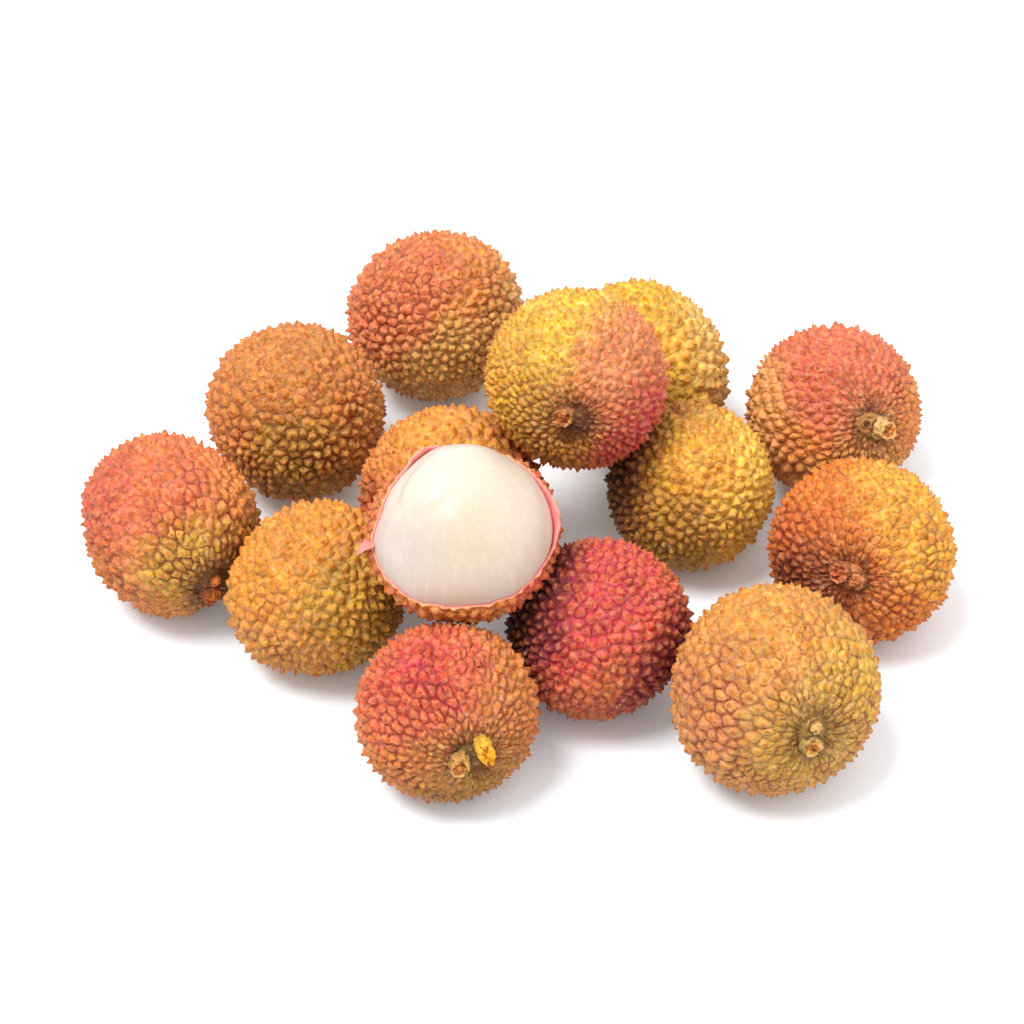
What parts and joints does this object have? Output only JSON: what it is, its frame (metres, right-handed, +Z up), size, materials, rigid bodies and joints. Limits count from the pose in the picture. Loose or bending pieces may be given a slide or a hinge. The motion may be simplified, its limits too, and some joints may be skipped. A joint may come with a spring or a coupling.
{
  "type": "bunch of lychees",
  "caption": "Loose heap of fresh lychees with rough, pimpled peel and short cut stems, one of them half peeled to show its white flesh.",
  "frame": {"origin": "on the surface that the heap rests on, under the middle of its bounding box", "axes": "+X towards the heap's right, its longest side, +Y towards its back, +Z up"},
  "size_m": [0.1652, 0.1432, 0.0569],
  "materials": {
    "peel_coral": "matte, coral red with orange pimple tips",
    "peel_orange": "matte, orange with brown tips",
    "peel_gold": "matte, golden yellow with orange patches",
    "peel_ochre": "matte, orange brown with olive gold",
    "stalk": "rough cut stalk",
    "flesh": "moist, translucent white"
  },
  "bodies": {
    "root": {"lychee_01": "peel_coral", "lychee_02": "peel_ochre", "lychee_03": "peel_coral", "lychee_04": "peel_gold", "lychee_05": "peel_orange", "lychee_06": "peel_gold", "lychee_07": "peel_gold", "lychee_08": "peel_gold", "lychee_09": "peel_coral", "lychee_10": "peel_orange", "lychee_11": "peel_coral", "lychee_12": "peel_coral", "lychee_13": "peel_gold", "stem_01": "stalk", "stem_02": "stalk", "stem_03": "stalk", "stem_04": "stalk", "stem_05": "stalk", "stem_06": "stalk", "stem_07": "stalk", "stem_08": "stalk", "stem_09": "stalk", "stem_10": "stalk", "stem_11": "stalk", "stem_12": "stalk", "stem_13": "stalk", "aril": "flesh", "peel_cup": "peel_orange"}
  },
  "joints": []
}
